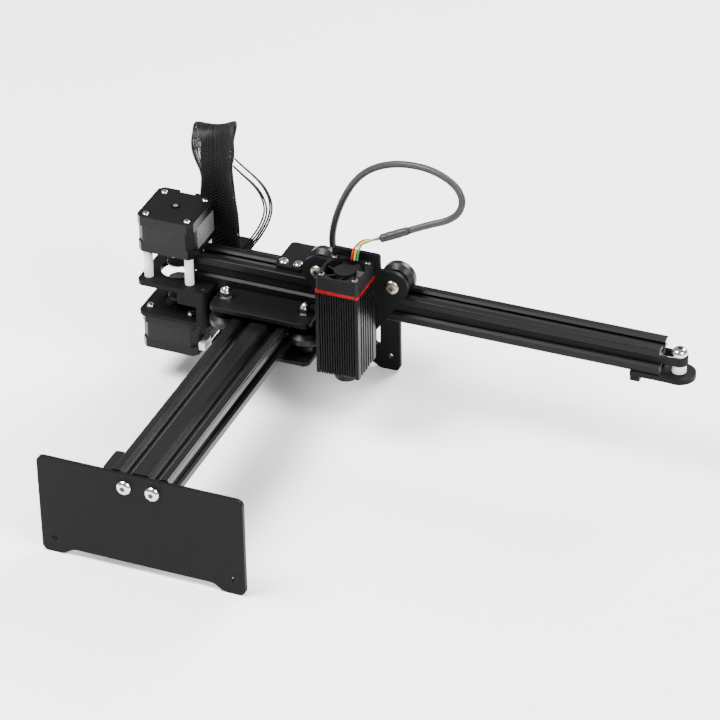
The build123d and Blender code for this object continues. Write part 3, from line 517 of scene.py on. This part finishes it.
WIRE_ROUTE = [
    (-0.0433, 0.257, 0.1583), (-0.037, 0.2565, 0.1532), (-0.0299, 0.256, 0.1486),
    (-0.0228, 0.2555, 0.1415), (-0.0187, 0.2545, 0.1305), (-0.0213, 0.253, 0.119),
    (-0.0277, 0.251, 0.1075), (-0.0349, 0.249, 0.0985), (-0.0405, 0.2475, 0.0915),
    (-0.046, 0.247, 0.0845),
]
WIRE_SHIFTS = [(0.0, 0.0, 0.0), (0.0026, 0.0015, -0.0014), (0.0068, 0.003, 0.0042),
               (0.0086, 0.0045, 0.0026)]
BLACK_WIRE = insulation("black_wire_insulation", grey(0.003), grey(0.006))


def wire_route(shift):
    """The same loop for each wire, started higher and ended further right."""
    last = len(WIRE_ROUTE) - 1
    route = []
    for i, (x, y, z) in enumerate(WIRE_ROUTE):
        along = i / last
        route.append((x + shift[0] * along, y + shift[1], z + shift[2] * (1 - along)))
    return route


for i, shift in enumerate(WIRE_SHIFTS):
    route = wire_route(shift)
    wire = cord_curve(f"sleeve_wire_{i + 1}", route, WIRE_D / 2, BLACK_WIRE)
    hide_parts("sleeve_wires")
    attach(wire, "gantry")
    line_length(line_of(route))


# ---- braided sleeve -----------------------------------------------------------------
SLEEVE_ROUTE = [
    (-0.054, 0.2565, 0.091), (-0.054, 0.2565, 0.106), (-0.0545, 0.2558, 0.125),
    (-0.0558, 0.256, 0.145), (-0.0573, 0.257, 0.160), (-0.0583, 0.259, 0.169),
    (-0.0597, 0.2626, 0.1763), (-0.0615, 0.2686, 0.1795), (-0.0635, 0.275, 0.1755),
    (-0.065, 0.278, 0.165), (-0.066, 0.2792, 0.149), (-0.066, 0.2786, 0.130),
    (-0.065, 0.277, 0.110), (-0.065, 0.277, 0.091),
]
SLEEVE_W, SLEEVE_T = 0.027, 0.005
sleeve_line = line_of(SLEEVE_ROUTE, 16)


def hump(t, middle, spread):
    """A smooth bell, 1 at its middle."""
    return math.exp(-((t - middle) / spread) ** 2)


def sleeve_width(t):
    """Narrow at the waist of each leg, wide towards the fold."""
    waists = hump(t, 0.22, 0.065) + 0.8 * hump(t, 0.8, 0.13)
    return SLEEVE_W * (1.1 - 0.28 * waists + 0.16 * hump(t, 0.4, 0.12))


def oval(t, grow, angle, reach=1.0):
    """A point on the flattened sleeve's section: curled edges, and a lean at the fold."""
    half = sleeve_width(t) / 2
    c, s = math.cos(angle), math.sin(angle)
    u = math.copysign(abs(c) ** 0.7, c) * reach
    v = math.copysign(abs(s) ** 0.8, s)
    curl = (0.001 + 0.0026 * hump(t, 0.48, 0.13)) * (u * u - 0.3)
    lean = 0.0034 * hump(t, 0.5, 0.12) * u
    return half * grow * u, SLEEVE_T / 2 * grow * v * (1 - 0.25 * u * u) - curl - lean


BUNDLE_SIDES = 72
BUNDLE_SIZE = 0.8
RIB_HEIGHT = 0.0004
RIB_PITCH = 0.0036


def bundle_ring(t):
    """The wires inside, ribbed across, and drawn together at the fold."""
    reach = 1.06 - 0.45 * hump(t, 0.47, 0.2)
    ring = []
    for j in range(BUNDLE_SIDES):
        angle = 2 * math.pi * j / BUNDLE_SIDES
        u, v = oval(t, BUNDLE_SIZE, angle, reach)
        rib = RIB_HEIGHT * math.cos(2 * math.pi * u / RIB_PITCH)
        ring.append((u, v + math.copysign(rib, math.sin(angle))))
    return ring


STRANDS = 32
STRAND_HALF_W = 0.00021
STRAND_T = 0.0003
STRAND_SLOPE = 0.9
SMALL_ANGLE = 0.05
TURNS = 3.1


def strand_points(strand, way):
    """Corners of one flat monofilament's section at every point along the sleeve."""
    places = frames(sleeve_line, Vector((1, 0, 0)))
    corners = []
    for i, (point, tangent, across, normal) in enumerate(places):
        t = i / (len(places) - 1)
        angle = 2 * math.pi * strand / STRANDS + way * TURNS * 2 * math.pi * t
        weave = 0.95 + 0.035 * way * math.cos(angle * STRANDS / 2)
        u, v = oval(t, weave, angle)
        u_next, v_next = oval(t, weave, angle + SMALL_ANGLE)
        middle = point + across * u + normal * v
        round_about = (across * (u_next - u) + normal * (v_next - v)).normalized()
        outward = round_about.cross(tangent)
        outward = outward if outward.dot(across * u + normal * v) > 0 else -outward
        side = (round_about - tangent * way * STRAND_SLOPE).normalized() * STRAND_HALF_W
        lift = outward.normalized() * STRAND_T
        corners.append((middle - side, middle + side, middle + side + lift, middle - side + lift))
    return corners


def braid():
    """Two families of flat monofilaments that cross each other round the sleeve."""
    verts, faces = [], []
    for way in (-1, 1):
        for strand in range(STRANDS):
            first = len(verts)
            sections = strand_points(strand, way)
            for corners in sections:
                verts += corners
            for i in range(len(sections) - 1):
                a = first + i * 4
                for j in range(4):
                    k = (j + 1) % 4
                    faces.append((a + j, a + k, a + 4 + k, a + 4 + j))
            faces.append((first, first + 1, first + 2, first + 3))
            faces.append(tuple(len(verts) - 4 + j for j in range(4)))
    monofilament = coated("braid_monofilament", grey(0.004), grey(0.011), (0.4, 0.55), 900,
                          specular=0.18)
    return mesh_object("braided_sleeve", verts, faces, monofilament, False)


core = sweep_ring("sleeve_wire_bundle", sleeve_line, Vector((1, 0, 0)), bundle_ring,
                  coated("sleeve_filler", grey(0.001), grey(0.002), (0.6, 0.7), 900, specular=0.03))
sleeve = braid()
for piece in (core, sleeve):
    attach(piece, "gantry")
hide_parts("cable_sleeve")


# ---- small visible details ----------------------------------------------------------
def rounded_outline(width, height, radius, steps=6):
    """Corner-rounded rectangle as a ring of points."""
    ring = []
    for corner, (sx, sy) in enumerate(((1, 1), (-1, 1), (-1, -1), (1, -1))):
        for i in range(steps + 1):
            angle = math.pi / 2 * (corner + i / steps)
            ring.append((sx * (width / 2 - radius) + radius * math.cos(angle),
                         sy * (height / 2 - radius) + radius * math.sin(angle)))
    return ring


LABEL_W, LABEL_H, LABEL_T, LABEL_CORNER = 0.0275, 0.0165, 0.00012, 0.001


def motor_label():
    """Blank label stuck on the right side of the upper motor."""
    low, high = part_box("x_motor_stator")
    middle_y, middle_z = (low[1] + high[1]) / 2 + 0.0015, (low[2] + high[2]) / 2 - 0.0013
    ring = rounded_outline(LABEL_W, LABEL_H, LABEL_CORNER)
    outer = [Vector((high[0] + LABEL_T, middle_y + u, middle_z + v)) for u, v in ring]
    inner = [Vector((high[0] - LABEL_T, p.y, p.z)) for p in outer]
    n = len(ring)
    sides = [(i, (i + 1) % n, n + (i + 1) % n, n + i) for i in range(n)]
    faces = sides + [tuple(range(n)), tuple(range(n, 2 * n))]
    label = mesh_object("motor_label", outer + inner, faces, LABEL, False)
    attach(label, "gantry")


motor_label()


# ---- floor and light ----------------------------------------------------------------
def studio():
    """A pale plain floor under a dim sky, with large soft lamps round the machine."""
    pale = coated("pale_floor", grey(0.93), grey(0.95), (0.75, 0.85), 4, depth=0.00001,
                  specular=0.1)
    corners = [(-3, -3, 0), (3, -3, 0), (3, 3, 0), (-3, 3, 0)]
    floor = mesh_object("floor", corners, [(0, 1, 2, 3)], pale)
    world = bpy.data.worlds.new("studio")
    world.use_nodes = True
    world.node_tree.nodes["Background"].inputs["Color"].default_value = (1, 1, 1, 1)
    world.node_tree.nodes["Background"].inputs["Strength"].default_value = 0.55
    bpy.context.scene.world = world
    target = at(0.08, 0.2, 0.08)
    for name, place, size, power in (("key", (-0.75, -0.5, 1.5), 0.8, 95),
                                     ("fill", (1.3, -0.7, 1.2), 0.9, 60),
                                     ("rim", (0.5, 1.5, 1.2), 0.9, 70)):
        lamp = bpy.data.lights.new(name, "AREA")
        lamp.size = size
        lamp.energy = power
        obj = bpy.data.objects.new(name, lamp)
        obj.location = target + Vector(place)
        obj.rotation_euler = (target - obj.location).to_track_quat("-Z", "Y").to_euler()
        bpy.context.scene.collection.objects.link(obj)


studio()
